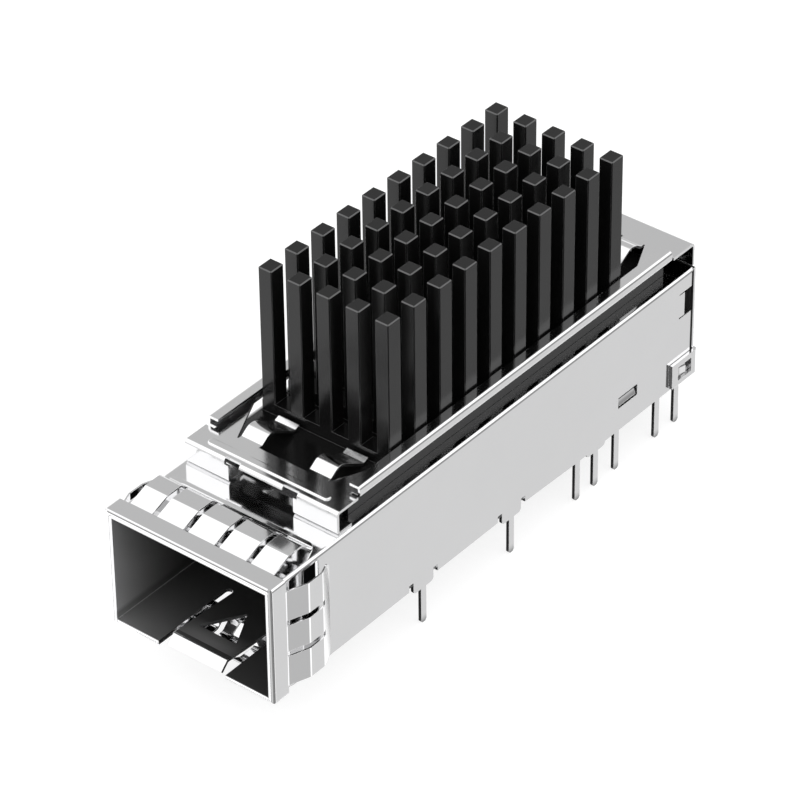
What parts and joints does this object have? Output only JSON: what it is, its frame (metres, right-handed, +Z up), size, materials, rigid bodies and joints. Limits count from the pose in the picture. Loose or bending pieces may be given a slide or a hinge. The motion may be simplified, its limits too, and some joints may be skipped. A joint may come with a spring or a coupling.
{
  "type": "sfp cage",
  "caption": "Single-port press-fit cage for a pluggable optical module, with a sprung pin-fin heat sink clipped on its roof and a spring-finger shielding collar round its mouth.",
  "frame": {"origin": "on the circuit board's top face, midway across the cage and half way along its length", "axes": "+Z up off the board, -Y out of the module opening, +X to the right when looking into the opening"},
  "size_m": [0.016, 0.0484, 0.0256],
  "materials": {
    "plated_sheet": "bright tin-plated sheet metal, nearly mirror-like with faint rolling marks",
    "spring_sheet": "bright plated thin spring sheet",
    "clip_sheet": "bright stainless spring sheet with a soft sheen",
    "black_anodised": "black anodised, satin, with bare bright hairlines at the sharp edges"
  },
  "bodies": {
    "root": {"cage_shell": "plated_sheet", "cage_base": "plated_sheet", "finger_collar": "spring_sheet", "heat_sink": "black_anodised", "retaining_clip": "clip_sheet"}
  },
  "joints": []
}
